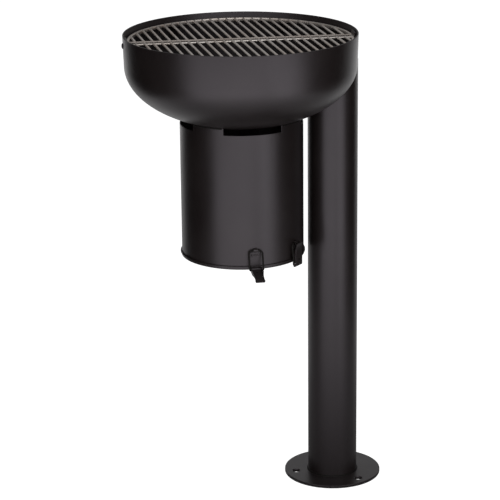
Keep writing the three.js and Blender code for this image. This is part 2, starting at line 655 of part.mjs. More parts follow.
// The lever as it lies when closed, from its pivot: +X away from the drum and +Z to its tip
function latchLever() {
  const inside = LEVER_BACK - LATCH_SHEET;
  const bendHeight = LEVER_REACH * LEVER_BEND_SHARE;
  const flangeEnd = LEVER_REACH * LEVER_FLANGE_END_SHARE;
  const heelCentre = LEVER_BACK - LEVER_HEEL;
  const noseTip = lidRadius + RUN_GAP - pivotRadius;
  const noseBottom = LEVER_NOSE_RISE - LEVER_NOSE_HEIGHT;
  const [cornerReachShare, cornerHeightShare] = LEVER_HEEL_CORNER_SHARES;
  const side = new THREE.Shape();
  side.moveTo(LEVER_BACK, bendHeight);
  side.lineTo(LEVER_BACK, heelCentre);
  side.absarc(0, heelCentre, LEVER_BACK, 0, -Math.PI / 2, true);
  side.lineTo(-LEVER_FLANGE * cornerReachShare, -LEVER_HEEL);
  side.lineTo(-LEVER_FLANGE, -LEVER_HEEL * cornerHeightShare);
  side.lineTo(-LEVER_FLANGE, noseBottom);
  side.lineTo(noseTip, noseBottom + LEVER_NOSE_HEIGHT * LEVER_NOSE_TIP_SHARE);
  side.lineTo(noseTip, LEVER_NOSE_RISE);
  side.lineTo(-LEVER_FLANGE, LEVER_NOSE_RISE);
  side.lineTo(-LEVER_FLANGE, flangeEnd);
  side.lineTo(inside, bendHeight);
  side.lineTo(inside + LEVER_CURL, LEVER_REACH);
  side.lineTo(LEVER_BACK + LEVER_CURL, LEVER_REACH);
  const room = new THREE.Shape();
  room.moveTo(-OVERRUN, heelCentre - inside);
  room.lineTo(0, heelCentre - inside);
  room.absarc(0, heelCentre, inside, -Math.PI / 2, 0, false);
  room.lineTo(inside, bendHeight);
  room.lineTo(inside + LEVER_CURL, LEVER_REACH);
  room.lineTo(inside + LEVER_CURL, LEVER_REACH + OVERRUN);
  room.lineTo(-OVERRUN, LEVER_REACH + OVERRUN);
  // Half widths from the heel to the tip
  const widths = [
    [LEVER_WIDTH, -LEVER_HEEL], [LEVER_WIDTH, flangeEnd], [LEVER_WAIST_WIDTH, LEVER_REACH * LEVER_WAIST_SHARE],
    [LEVER_WAIST_WIDTH, bendHeight], [LEVER_TIP_WIDTH, LEVER_REACH * LEVER_TIP_SHARE],
    [LEVER_TIP_WIDTH * LEVER_TIP_CORNER_SHARE, LEVER_REACH],
  ];
  const plan = (inset) => {
    const right = widths.map(([width, z]) => [width / 2 - inset, z]);
    const left = right.map(([y, z]) => [-y, z]).reverse();
    return outward(outline([...right, ...left]), -OVERRUN, OVERRUN);
  };
  const outer = solidOf(across(side, LEVER_WIDTH + OVERRUN)).intersect(solidOf(plan(0)));
  const inner = solidOf(across(room, LEVER_WIDTH + OVERRUN)).intersect(solidOf(plan(LATCH_SHEET)));
  const half = LEVER_WIDTH;
  const pivotHole = rodAlongY(BAIL_WIRE / 2 + RUN_GAP, -half, half, 0, 0, ROD_FACETS);
  const backHole = rodAlongX(LEVER_HOLE_DIAMETER / 2, 0, OVERRUN, 0, LEVER_HEEL / 2, SMALL_FACETS);
  return cutBy(outer.subtract(inner), [pivotHole, backHole]);
}

place(grill, "base_flange", baseFlange(), BLACK_COAT);
place(grill, "post_tube", postTube(), BLACK_COAT);
place(bowlAxis, "bowl_shell", bowlShell(), BLACK_COAT);
place(bowlAxis, "drum_shell", drumShell(), BLACK_COAT);
place(bowlAxis, "fire_grate", fireGrate(), FIRE_IRON);

const grateTurn = new THREE.Group();
grateTurn.rotation.z = rad(GRATE_TURN_DEGREES);
bowlAxis.add(grateTurn);
place(grateTurn, "cooking_grate_front", grateHalf(-1), GRATE_STEEL);
place(grateTurn, "cooking_grate_rear", grateHalf(1), GRATE_STEEL);
[["right", 0], ["left", 180]].forEach(([end, angle]) => {
  place(grateTurn, `pivot_plate_${end}`, pivotPlate(angle), BLACK_COAT);
  place(grateTurn, `pivot_bolt_${end}`, pivotBolt(angle), BLACK_COAT);
  place(grateTurn, `pivot_nut_${end}`, pivotNut(angle), ZINC_STEEL);
});
LUG_POLAR_DEGREES.forEach((polar, i) => {
  place(bowlAxis, `grate_rest_lug_${i + 1}`, restLug(polar), BLACK_COAT);
});

place(bowlAxis, "ash_lid", ashLid(), BLACK_COAT);
const hinge = new THREE.Group();
hinge.rotation.z = rad(HINGE_POLAR_DEGREES);
bowlAxis.add(hinge);
place(hinge, "hinge_leaf_drum", hingeLeafDrum(), BLACK_COAT);
place(hinge, "hinge_leaf_lid", hingeLeafLid(), BLACK_COAT);
place(hinge, "hinge_pin", hingePin(), ZINC_STEEL);
leafRivetPolars.forEach((angle, i) => {
  const spot = new THREE.Group();
  spot.rotation.z = angle;
  spot.position.z = leafRivetHeight;
  hinge.add(spot);
  const grip = rivet(drumRadius - DRUM_SHEET, saddleBack + HINGE_SHEET);
  place(spot, `hinge_rivet_drum_${i + 1}`, grip, BLACK_COAT);
});
strapRivetRadii.forEach((radius, i) => {
  const spot = new THREE.Group();
  spot.rotation.y = Math.PI / 2;
  spot.position.x = radius;
  hinge.add(spot);
  const grip = rivet(-lidFloorTop, HINGE_SHEET - strapTop);
  place(spot, `hinge_rivet_lid_${i + 1}`, grip, BLACK_COAT);
});

function latch(name, polar, turn) {
  const frame = new THREE.Group();
  frame.rotation.z = rad(polar);
  bowlAxis.add(frame);
  place(frame, `latch_${name}_saddle`, latchSaddle(), BLACK_COAT);
  spread(SADDLE_RIVET_COUNT, SADDLE_RIVET_SPACING).forEach((y, i) => {
    const spot = new THREE.Group();
    spot.position.set(0, y, saddleRivetHeight);
    frame.add(spot);
    const inner = Math.sqrt((drumRadius - DRUM_SHEET) ** 2 - (Math.abs(y) + RIVET_HEAD_DIAMETER / 2) ** 2);
    place(spot, `latch_${name}_rivet_${i + 1}`, rivet(inner * facetShare, saddleBack + SADDLE_SHEET), BLACK_COAT);
  });
  const bail = new THREE.Group();
  bail.position.set(bailRadius, 0, bailHeight);
  bail.rotation.y = -bailLean - rad(turn) * BAIL_SWING_SHARE;
  frame.add(bail);
  place(bail, `latch_${name}_bail`, latchBail(), BLACK_COAT);
  const lever = new THREE.Group();
  lever.position.z = -bailLength;
  lever.rotation.y = bailLean + rad(turn);
  bail.add(lever);
  place(lever, `latch_${name}_lever`, latchLever(), BLACK_COAT);
}

latch("front", FRONT_LATCH_POLAR_DEGREES, LEVER_OPEN_DEGREES);
latch("right", RIGHT_LATCH_POLAR_DEGREES, 0);

export default grill;
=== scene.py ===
# %% [markdown]
# Park grill on a post. A steel bowl with a folding cooking grate is welded to the side of an
# upright post, and an ash drum with a latched lid hangs under the bowl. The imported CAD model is
# loaded first as the fixed frame: every piece made here goes where the CAD says and rides on a CAD
# body.

# %% Load the frame
import math

import bmesh
import bpy
from mathutils import Matrix, Vector


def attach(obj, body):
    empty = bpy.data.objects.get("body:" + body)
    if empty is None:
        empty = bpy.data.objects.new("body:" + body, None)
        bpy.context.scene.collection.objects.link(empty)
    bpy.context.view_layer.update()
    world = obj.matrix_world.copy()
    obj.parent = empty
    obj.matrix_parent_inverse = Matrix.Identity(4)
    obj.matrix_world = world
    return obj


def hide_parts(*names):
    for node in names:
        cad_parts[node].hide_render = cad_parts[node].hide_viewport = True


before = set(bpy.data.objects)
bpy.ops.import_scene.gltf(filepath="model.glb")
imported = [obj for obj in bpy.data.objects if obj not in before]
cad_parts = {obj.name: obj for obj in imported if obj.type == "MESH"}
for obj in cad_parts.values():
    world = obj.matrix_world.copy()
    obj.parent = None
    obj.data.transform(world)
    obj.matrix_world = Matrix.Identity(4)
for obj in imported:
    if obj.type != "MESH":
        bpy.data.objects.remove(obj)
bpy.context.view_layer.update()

# %% [markdown]
# Pieces are drawn in millimetres, as on a drawing, and MM turns them into Blender's metres. Only
# the finishes and the studio are written in metres. The origin is under the post, so the bowl's
# axis lies to the side of it. The cooking grate is turned a little about that axis.

# %% Shared sizes and places
MM = 0.001
BOWL_OFFSET = 187.5
BOWL_AXIS = Matrix.Translation((-BOWL_OFFSET, 0.0, 0.0))
POST_AXIS = Matrix.Identity(4)
GRATE_TURN = math.radians(-4)


def around_bowl(polar, place=(0.0, 0.0, 0.0)):
    """A place seen from the bowl's axis, turned about that axis by a polar angle."""
    return BOWL_AXIS @ Matrix.Rotation(polar, 4, "Z") @ Matrix.Translation(place)


def linked(name, data):
    """A new object in the scene for some data."""
    item = bpy.data.objects.new(name, data)
    bpy.context.scene.collection.objects.link(item)
    return item


# %% [markdown]
# The photograph was taken with a long lens from a little above the grill, a few steps to its left.
# The camera's place and lens were fitted to the circles of the rim, the drum and the flange. A
# vertical shift would fit a little better, but it would push the grill out of the other views, so
# there is none.

# %% Camera
CAMERA_PLACE = (-980.2, -3968.3, 1734.2)
CAMERA_YAW = math.radians(-11.5)
CAMERA_PITCH = math.radians(16.958)
CAMERA_ROLL = math.radians(-0.606)
CAMERA_LENS = 149.803
SENSOR = 36.0

camera_data = bpy.data.cameras.new("camera")
camera_data.lens = CAMERA_LENS
camera_data.sensor_width = SENSOR
camera_data.clip_end = 100.0
camera = linked("camera", camera_data)
turn = Matrix.Rotation(CAMERA_YAW, 4, "Z") @ Matrix.Rotation(math.pi / 2 - CAMERA_PITCH, 4, "X")
roll = Matrix.Rotation(CAMERA_ROLL, 4, "Z")
camera.matrix_world = Matrix.Translation(Vector(CAMERA_PLACE) * MM) @ turn @ roll
bpy.context.scene.camera = camera
print("camera height in metres:", round(camera.location.z, 3))

# %% [markdown]
# Finishes are built from shader nodes. Writing each node and link by hand is long, so a small
# class wraps a node's output: adding or multiplying two of them adds the Math node that does it.
# Any other node comes from one method, which takes the node's type, its settings and its sockets'
# values.

# %% A finish and its arithmetic
class Varying:
    """A number or colour that varies over a surface."""

    def __init__(self, finish, socket):
        self.finish = finish
        self.socket = socket

    def _maths(self, operation, first, second):
        """A Math node on two values."""
        return self.finish.add("ShaderNodeMath", {"operation": operation}, {0: first, 1: second})

    def __add__(self, other):
        return self._maths("ADD", self, other)

    __radd__ = __add__

    def __mul__(self, other):
        return self._maths("MULTIPLY", self, other)

    __rmul__ = __mul__

    def __sub__(self, other):
        return self._maths("SUBTRACT", self, other)

    def __rsub__(self, other):
        return self._maths("SUBTRACT", other, self)


class Finish:
    """A material in the making. Its slot is the record's name for the finish."""

    def __init__(self, name, slot):
        self.slot = slot
        self.material = bpy.data.materials.new(name)
        self.material.use_nodes = True
        self.tree = self.material.node_tree
        self.tree.nodes.clear()
        self.place = self.add("ShaderNodeTexCoord", {}, {}, "Object")

    def add(self, kind, settings, sockets, output=0):
        """A new node with its settings and its sockets' values. Gives one of its outputs."""
        node = self.tree.nodes.new(kind)
        for name, setting in settings.items():
            setattr(node, name, setting)
        for name, value in sockets.items():
            if isinstance(value, Varying):
                self.tree.links.new(value.socket, node.inputs[name])
            else:
                node.inputs[name].default_value = value
        return Varying(self, node.outputs[output])

    def vector_maths(self, operation, first, second=(0.0, 0.0, 0.0), output=0):
        """A Vector Math node. Its output 1 is the number that some operations give."""
        sockets = {0: first, 1: second}
        return self.add("ShaderNodeVectorMath", {"operation": operation}, sockets, output)

    def part(self, vector, axis):
        """A vector's number along one axis."""
        return self.add("ShaderNodeSeparateXYZ", {}, {0: vector}, axis)

    def noise(self, scale, detail=2.0, roughness=0.5, place=None):
        """Cloudy values about 0.5, scale blobs to a metre."""
        place = place or self.place
        sockets = {"Vector": place, "Scale": scale, "Detail": detail, "Roughness": roughness}
        return self.add("ShaderNodeTexNoise", {}, sockets)

    def stretched(self, share):
        """Object coordinates stretched along each axis by a share."""
        return self.add("ShaderNodeMapping", {}, {"Vector": self.place, "Scale": share})

    def patches(self, value, start, end):
        """0 below start, 1 above end, smooth between them."""
        sockets = {"Value": value, "From Min": start, "From Max": end}
        return self.add("ShaderNodeMapRange", {"interpolation_type": "SMOOTHSTEP"}, sockets)

    def colour(self, amount, plain, other):
        """The plain colour, going over to the other one where amount is 1."""
        sockets = {0: amount, 6: plain, 7: other}
        return self.add("ShaderNodeMix", {"data_type": "RGBA"}, sockets, 2)

    def bump(self, height, distance, strength, below=None):
        """A normal that is tilted by a height, over the bumps below it."""
        sockets = {"Height": height, "Distance": distance, "Strength": strength}
        if below is not None:
            sockets["Normal"] = below
        return self.add("ShaderNodeBump", {}, sockets)

    def finish_with(self, sockets):
        """Ends the material with a Principled shader."""
        self.add_output(self.add("ShaderNodeBsdfPrincipled", {}, sockets))
        return self

    def add_output(self, shader):
        """Links a shader to the material's surface."""
        output = self.tree.nodes.new("ShaderNodeOutputMaterial")
        self.tree.links.new(shader.socket, output.inputs["Surface"])


def rgb(red, green, blue):
    """An opaque colour."""
    return (red, green, blue, 1.0)


# %% [markdown]
# Black powder coat is a plastic skin baked onto the steel. It is satin, not matt: the studio's
# lights show in it as broad soft bands. Close up it has a fine orange peel from the powder's
# grains, and a slower waviness from the sheet under it. Dust settles on faces that look up, so
# those go a little greyer and rougher. In the bowl, smoke has left soot on the faces that look at
# its axis: it is blacker and quite matt, and it ends in a wavy line below the rim. Images could be
# painted for all this, but noise in object coordinates has no seams on round pieces.

# %% Black powder coat
BOWL_PLACE = (-BOWL_OFFSET * MM, 0.0, 0.0)
SOOT_TOP = 0.934
SOOT_FULL = 0.915


def black_coat(sooty=False):
    """The coat on sheet and tube, with soot on the bowl's inside if wanted."""
    coat = Finish("black coat with soot inside" if sooty else "black powder coat", "black_coat")
    peel = coat.noise(620.0, 2.0)
    waves = coat.noise(24.0, 1.0)
    clouds = coat.noise(7.0, 5.0, 0.6)
    specks = coat.patches(coat.noise(340.0, 1.0), 0.70, 0.78)
    normal = coat.add("ShaderNodeNewGeometry", {}, {}, "Normal")
    upward = coat.patches(coat.part(normal, 2), 0.55, 0.98)
    dust = coat.patches(clouds, 0.38, 0.72)
    film = 0.06 * dust + 0.05 * upward * dust + 0.10 * specks
    colour = coat.colour(film, rgb(0.0092, 0.0066, 0.0064), rgb(0.062, 0.054, 0.049))
    roughness = 0.335 + 0.09 * coat.noise(15.0, 3.0) + 0.22 * film
    if sooty:
        outward = coat.vector_maths("SUBTRACT", coat.place, BOWL_PLACE)
        level = coat.vector_maths("MULTIPLY", outward, (1.0, 1.0, 0.0))
        facing = coat.vector_maths("DOT_PRODUCT", level, normal, 1)
        inside = coat.patches(0.0 - facing, 0.0, 0.012)
        height = coat.part(coat.place, 2)
        soot = inside * coat.patches(0.010 * clouds - height, -SOOT_TOP, -SOOT_FULL)
        colour = coat.colour(soot, colour, rgb(0.0070, 0.0050, 0.0040))
        roughness = roughness + 0.40 * soot
    return coat.finish_with({
        "Base Color": colour,
        "Roughness": roughness,
        "Normal": coat.bump(peel, 0.00010, 0.35, coat.bump(waves, 0.0008, 0.18)),
        "IOR": 1.5,
        "Specular Tint": rgb(1.0, 0.93, 1.02),
    })


# %% [markdown]
# The cooking grate is bare stainless rod. Heat has dulled it to a warm grey, browner in patches
# where fat has baked on, and drawing the rod leaves fine scratches. The metal is not mirror
# bright, so its roughness is high for a metal. The rear half's straight rod lies behind the front
# one; a brown band along it is painted shade, so that it looks dimmer than the front rod.

# %% Grate steel
ACROSS_FOLD = (-math.sin(GRATE_TURN), math.cos(GRATE_TURN), 0.0)
FOLD_LINE = BOWL_OFFSET * MM * math.sin(GRATE_TURN)


def grate_steel():
    """The cooking grate's steel, with painted shade along the rod behind its fold line."""
    steel = Finish("heat-dulled stainless rod", "grate_steel")
    tint = steel.patches(steel.noise(11.0, 4.0, 0.6), 0.42, 0.74)
    baked = steel.patches(steel.noise(70.0, 3.0, 0.65), 0.60, 0.82)
    scratches = steel.noise(900.0, 2.0, 0.5, steel.stretched((1.0, 0.06, 1.0)))
    warm = steel.colour(0.55 * tint, rgb(0.70, 0.65, 0.61), rgb(0.52, 0.42, 0.35))
    # Painted shade: a band along the rear half's straight rod, just behind the fold line, gets the
    # dark brown of baked fat so that the rod looks dimmer. The film below mixes this painted shade
    # with the real baked fat in patches.
    across = steel.vector_maths("DOT_PRODUCT", steel.place, ACROSS_FOLD, 1)
    behind = steel.patches(across, FOLD_LINE + 0.004, FOLD_LINE + 0.006)
    rear_rod_painted_shade = behind * (1 - steel.patches(across, FOLD_LINE + 0.0135, FOLD_LINE + 0.0150))
    fat_and_rear_rod_shade = {0: 0.35 * baked, 1: 0.55 * rear_rod_painted_shade}
    film = steel.add("ShaderNodeMath", {"operation": "MAXIMUM"}, fat_and_rear_rod_shade)
    return steel.finish_with({
        "Base Color": steel.colour(film, warm, rgb(0.13, 0.095, 0.075)),
        "Metallic": 0.88 - 0.9 * film,
        "Roughness": 0.40 + 0.12 * tint + 0.3 * film,
        "Normal": steel.bump(scratches, 0.00006, 0.35),
    })


# %% [markdown]
# The fire grate is cast iron, dry and sandy from its mould, with pale ash on it in patches. One
# fine noise makes the sand and roughens the shine with it, and a larger one lays the ash.

# %% Fire iron
def fire_iron():
    """Sandy iron with ash in patches."""
    iron = Finish("sand-cast iron", "fire_iron")
    sand = iron.noise(420.0, 4.0, 0.65)
    ash = iron.patches(iron.noise(28.0, 5.0, 0.6), 0.52, 0.74)
    return iron.finish_with({
        "Base Color": iron.colour(0.6 * ash, rgb(0.030, 0.025, 0.022), rgb(0.17, 0.155, 0.14)),
        "Metallic": 0.35 - 0.3 * ash,
        "Roughness": 0.72 + 0.16 * sand,
        "Normal": iron.bump(sand, 0.0004, 0.6),
    })


# %% [markdown]
# Nuts and the hinge's pin are zinc plated: a dull grey metal with faint cloudy crystals. A single
# noise for colour, roughness and bump is enough on parts this small.

# %% Zinc plate
def zinc_steel():
    """Plated steel, dull and cloudy."""
    zinc = Finish("dull zinc plate", "zinc_steel")
    crystals = zinc.noise(190.0, 2.0)
    return zinc.finish_with({
        "Base Color": zinc.colour(crystals, rgb(0.20, 0.20, 0.205), rgb(0.34, 0.34, 0.335)),
        "Metallic": 0.9,
        "Roughness": 0.36 + 0.2 * crystals,
        "Normal": zinc.bump(crystals, 0.00004, 0.3),
    })


# %% [markdown]
# Bent wires and welds get a flatter and deeper black than the open sheet, with a weaker shine, so
# those parts get a finish of their own. The deeper black is painted shade: the welds lie in the
# corners between parts and the wires lie close to the wall, where shade falls.

# %% Black for wires and welds, darkened as painted shade
def shade_black_coat():
    """The flatter and deeper black on wires and welds, painted shade for the corners they lie in.
    """
    coat = Finish("black coat darkened as painted shade", "black_coat")
    grain = coat.noise(700.0, 3.0, 0.6)
    return coat.finish_with({
        # Painted shade: this base colour is darker than the open sheet's coat, for the shade in the
        # corners of welds and along the wires.
        "Base Color": coat.colour(grain, rgb(0.0026, 0.0021, 0.0020), rgb(0.0075, 0.0058, 0.0050)),
        "Roughness": 0.46 + 0.14 * grain,
        "Normal": coat.bump(grain, 0.0001, 0.4),
        "Specular IOR Level": 0.14,
    })


# %% All finishes
COAT, SOOTY, SHADE_BLACK = black_coat(), black_coat(sooty=True), shade_black_coat()
STEEL, IRON, ZINC = grate_steel(), fire_iron(), zinc_steel()
print("finishes:", [finish.material.name for finish in (COAT, SOOTY, SHADE_BLACK, STEEL, IRON, ZINC)])

# %% [markdown]
# Most of the grill is round: a section turned about an axis. A few vertices make the section, and
# bmesh's spin turns it, as a lathe or a spinning bench makes the real bowl. A turned piece is left
# in millimetres round the Z axis until it is finished, when it goes to its place. A Screw modifier
# would turn a section too, but spin gives a mesh at once, and can also turn only a part of the way
# round.

# %% Turned pieces
MERGE = 0.002


def ring_section(inner, outer, bottom, top):
    """The section of a plain ring or tube."""
    return [(inner, bottom), (outer, bottom), (outer, top), (inner, top)]


def turned(section, steps, angle=math.tau, start=0.0):
    """A closed section of (radius, height) pairs turned about the Z axis."""
    bm = bmesh.new()
    verts = [bm.verts.new((radius, 0.0, height)) for radius, height in section]
    bmesh.ops.rotate(bm, verts=verts, cent=(0, 0, 0), matrix=Matrix.Rotation(start, 3, "Z"))
    full = angle >= math.tau
    if full:
        edges = [bm.edges.new((a, b)) for a, b in zip(verts, verts[1:] + verts[:1])]
        geometry = verts + edges
    else:
        geometry = [bm.faces.new(verts)]
    bmesh.ops.spin(
        bm, geom=geometry, cent=(0, 0, 0), axis=(0, 0, 1), angle=angle, steps=steps, use_merge=full,
    )
    bmesh.ops.remove_doubles(bm, verts=bm.verts, dist=MERGE)
    bare = [edge for edge in bm.edges if not edge.link_faces]
    bmesh.ops.delete(bm, geom=bare, context="EDGES")
    bmesh.ops.recalc_face_normals(bm, faces=bm.faces)
    return bm


SHARP = math.radians(32)


def rounded(bm, edges, width, segments):
    """Rounds some edges with a bevel."""
    bmesh.ops.bevel(
        bm, geom=edges, offset=width, offset_type="OFFSET", segments=segments, profile=0.5,
        affect="EDGES", clamp_overlap=True, material=-1,
    )
    return bm


def soften(bm, width, segments=2):
    """Rounds the sharp edges."""
    sharp = [edge for edge in bm.edges if edge.is_manifold and edge.calc_face_angle() > SHARP]
    return rounded(bm, sharp, width, segments)


# %% [markdown]
# Every piece ends in the same way. It goes to its place with its object at the world's origin. It
# gets its finish and the CAD body it rides on, and the CAD nodes that it stands for are hidden.
# Edges over a crease angle stay crisp. Faces that look straight up or down stay flat, so a plate
# with holes in it keeps an even shine.

# %% Finishing a piece
CREASE = math.radians(20)
ROUND_CREASE = math.radians(38)
LEVEL = 0.9999


def to_mesh(bm, name):
    """A mesh from a bmesh, which is freed."""
    mesh = bpy.data.meshes.new(name)
    bm.to_mesh(mesh)
    bm.free()
    return mesh


def take_in(bm, other):
    """Adds the faces of another bmesh, which is freed."""
    mesh = to_mesh(other, "part")
    bm.from_mesh(mesh)
    bpy.data.meshes.remove(mesh)


def as_object(bm, name, place):
    """An object from a bmesh in millimetres, which goes to a place."""
    bmesh.ops.transform(bm, matrix=Matrix.Scale(MM, 4) @ place, verts=bm.verts)
    return linked(name, to_mesh(bm, name))


def dress(piece, finish, body, nodes=(), crease=CREASE):
    """Gives a piece its finish and its body, and hides the nodes that it stands for."""
    mesh = piece.data
    mesh.materials.clear()
    mesh.materials.append(finish.material)
    mesh.set_sharp_from_angle(angle=crease)
    smooth = [abs(face.normal.z) < LEVEL for face in mesh.polygons]
    mesh.polygons.foreach_set("use_smooth", smooth)
    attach(piece, body)
    if nodes:
        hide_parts(*nodes)
    print(f"{piece.name}: {len(mesh.polygons)} faces")
    return piece


# %% [markdown]
# Curved cuts come from Boolean modifiers. What they leave is made a plain mesh at once, its
# doubled points are merged, and its edges are rounded where they show.

# %% Cutting a piece
TINY = 0.01


def plain_mesh(piece):
    """An object's shape as a new mesh, with its modifiers in it."""
    whole = piece.evaluated_get(bpy.context.evaluated_depsgraph_get())
    return bpy.data.meshes.new_from_object(whole)


def cut(piece, cutters, width=0.0):
    """Cuts the cutters out of a piece and rounds the edges of what is left."""
    for cutter in cutters:
        modifier = piece.modifiers.new("cut", "BOOLEAN")
        modifier.operation = "DIFFERENCE"
        modifier.solver = "EXACT"
        modifier.object = cutter
    whole = plain_mesh(piece)
    piece.modifiers.clear()
    for cutter in cutters:
        bpy.data.objects.remove(cutter)
    bm = bmesh.new()
    bm.from_mesh(whole)
    bmesh.ops.remove_doubles(bm, verts=bm.verts, dist=TINY * MM)
    bmesh.ops.dissolve_degenerate(bm, edges=bm.edges, dist=TINY * MM)
    if width:
        soften(bm, width * MM)
    bm.to_mesh(whole)
    bm.free()
    piece.data = whole
    return piece


# %% [markdown]
# The bowl is spun from sheet steel: a short nearly straight wall over a round bottom, with a hole
# for the ash in its middle. One half section is drawn, outside first and then back up the inside,
# and turned once round. Its rim is only the sheet's own edge, so it is rounded by a millimetre.

# %% Bowl
RIM_HEIGHT = 948.0
RIM_RADIUS = 233.0
BOWL_SHEET = 3.0
ROUND_TOP = 887.0
ROUND_RADIUS = 231.3
ROUND_DEPTH = 123.0
ASH_HOLE_RADIUS = 100.0
WELD_GAP = 0.3
RIM_ROUND = 1.0
BOWL_STEPS = 160
ROUND_POINTS = 26


def round_bottom(offset):
    """The round bottom's section from the ash hole to the wall, moved outwards by offset."""
    radius, depth = ROUND_RADIUS + offset, ROUND_DEPTH + offset
    start = math.asin(ASH_HOLE_RADIUS / radius)
    angles = [start + (math.pi / 2 - start) * i / ROUND_POINTS for i in range(ROUND_POINTS + 1)]
    return [(radius * math.sin(a), ROUND_TOP - depth * math.cos(a)) for a in angles]


def bowl_body(offset):
    """The bowl's outside as a full body, which cuts what is welded under it."""
    top = [(RIM_RADIUS + offset, RIM_HEIGHT), (0.0, RIM_HEIGHT)]
    base = round_bottom(offset)
    return turned([(0.0, base[0][1])] + base + top, BOWL_STEPS)


def bowl_cutter():
    """What cuts a tube to the bowl's curve, with room for the weld."""
    return as_object(bowl_body(WELD_GAP), "cutter", BOWL_AXIS)


section = round_bottom(0.0) + [(RIM_RADIUS, RIM_HEIGHT), (RIM_RADIUS - BOWL_SHEET, RIM_HEIGHT)]
section += round_bottom(-BOWL_SHEET)[::-1]
bowl = as_object(soften(turned(section, BOWL_STEPS), RIM_ROUND, 3), "charcoal_bowl", BOWL_AXIS)
dress(bowl, SOOTY, "grill_frame", ["bowl_shell"])

# %% [markdown]
# The ash drum is a rolled tube. Its top edge is cut to the bowl's curve, and four wide notches
# under the bowl let air in. A Boolean with the bowl's own outside gives the true curve, which
# would be hard to draw.

# %% Ash drum
DRUM_RADIUS = 123.5
DRUM_BORE = 121.0
DRUM_BOTTOM = 498.4
NOTCH_ANGLE = math.radians(56)
NOTCH_BOTTOM = 769.0
NOTCH_TOP = 840.0
NOTCH_INNER = 60.0
NOTCH_OUTER = 160.0
NOTCH_COUNT = 4
NOTCH_STEPS = 28
DRUM_EDGE = 0.5

wall = ring_section(DRUM_BORE, DRUM_RADIUS, DRUM_BOTTOM, ROUND_TOP)
drum = as_object(turned(wall, BOWL_STEPS), "ash_drum", BOWL_AXIS)
cutters = [bowl_cutter()]
block = ring_section(NOTCH_INNER, NOTCH_OUTER, NOTCH_BOTTOM, NOTCH_TOP)
for i in range(NOTCH_COUNT):
    middle = i * math.tau / NOTCH_COUNT
    notch = turned(block, NOTCH_STEPS, NOTCH_ANGLE, middle - NOTCH_ANGLE / 2)
    cutters.append(as_object(notch, "cutter", BOWL_AXIS))
dress(cut(drum, cutters, DRUM_EDGE), COAT, "grill_frame", ["drum_shell"])

# %% [markdown]
# The post is a steel tube that ends under the bowl, cut to its curve in the same way. The floor
# flange is a disc with three countersunk holes for anchor bolts. Each hole is cut by a turned
# drill, with its countersink in its shape, so the hole's edge needs no rounding afterwards.

# %% Post and flange
POST_RADIUS = 50.8
POST_BORE = 47.2
FLANGE_RADIUS = 100.0
FLANGE_THICKNESS = 6.0
FLANGE_EDGE = 0.8
ANCHOR_REACH = 78.0
ANCHOR_HOLE_RADIUS = 7.0
ANCHOR_COUNT = 3
ANCHOR_CHAMFER = 2.0
DRILL_SPARE = 9.0
DRILL_STEPS = 40
POST_STEPS = 112
POST_TOP = 885.5

wall = ring_section(POST_BORE, POST_RADIUS, FLANGE_THICKNESS, POST_TOP)
post = as_object(turned(wall, POST_STEPS), "upright_post", POST_AXIS)
dress(cut(post, [bowl_cutter()]), COAT, "grill_frame", ["post_tube"])

disc = ring_section(0.0, FLANGE_RADIUS, 0.0, FLANGE_THICKNESS)
flange = as_object(soften(turned(disc, BOWL_STEPS), FLANGE_EDGE), "floor_flange", POST_AXIS)
drill = [
    (0.0, -DRILL_SPARE), (ANCHOR_HOLE_RADIUS, -DRILL_SPARE),
    (ANCHOR_HOLE_RADIUS, FLANGE_THICKNESS - ANCHOR_CHAMFER),
    (ANCHOR_HOLE_RADIUS + ANCHOR_CHAMFER + DRILL_SPARE, FLANGE_THICKNESS + DRILL_SPARE),
    (0.0, FLANGE_THICKNESS + DRILL_SPARE),
]
drills = []
for i in range(ANCHOR_COUNT):
    around = Matrix.Rotation(math.pi + i * math.tau / ANCHOR_COUNT, 4, "Z")
    place = around @ Matrix.Translation((ANCHOR_REACH, 0, 0))
    drills.append(as_object(turned(drill, DRILL_STEPS), "cutter", place))
dress(cut(flange, drills), COAT, "grill_frame", ["base_flange"])

# %% [markdown]
# Welds hold the post to its flange and to the bowl, and the drum to the bowl. A weld is laid in
# small overlapping pools, which show through the paint as ripples, so the bead's radius swells and
# shrinks a little along its way.

# %% Weld beads
FOOT_BEAD = [
    (49.8, 5.5), (53.2, 5.7), (53.0, 6.5), (52.2, 7.5), (51.3, 8.3), (49.8, 8.7),
]
BEAD_STEPS = 384
RIPPLE_COUNT = 80
RIPPLE_HEIGHT = 0.16
RIPPLE_START = 51.2


def rippled(bm):
    """Swells a turned bead in and out round its axis."""
    for vert in bm.verts:
        angle = math.atan2(vert.co.y, vert.co.x)
        if Vector((vert.co.x, vert.co.y)).length > RIPPLE_START:
            outward = Vector((math.cos(angle), math.sin(angle), 1.0))
            vert.co += outward * RIPPLE_HEIGHT * math.cos(RIPPLE_COUNT * angle)
    return bm


def on_round(reach):
    """The height of the bowl's round bottom at a distance from its axis."""
    return ROUND_TOP - ROUND_DEPTH * math.sqrt(1 - (reach / ROUND_RADIUS) ** 2)


foot = as_object(rippled(turned(FOOT_BEAD, BEAD_STEPS)), "post_foot_weld", POST_AXIS)
dress(foot, SHADE_BLACK, "grill_frame", crease=ROUND_CREASE)

DRUM_BEAD_ANGLE = math.radians(31)
DRUM_BEAD_RADIUS = 2.0
DRUM_BEAD_STEPS = 40
DRUM_BEAD_SIDES = 10
DRUM_BEAD_OUT = 0.6
DRUM_BEAD_DOWN = 0.7

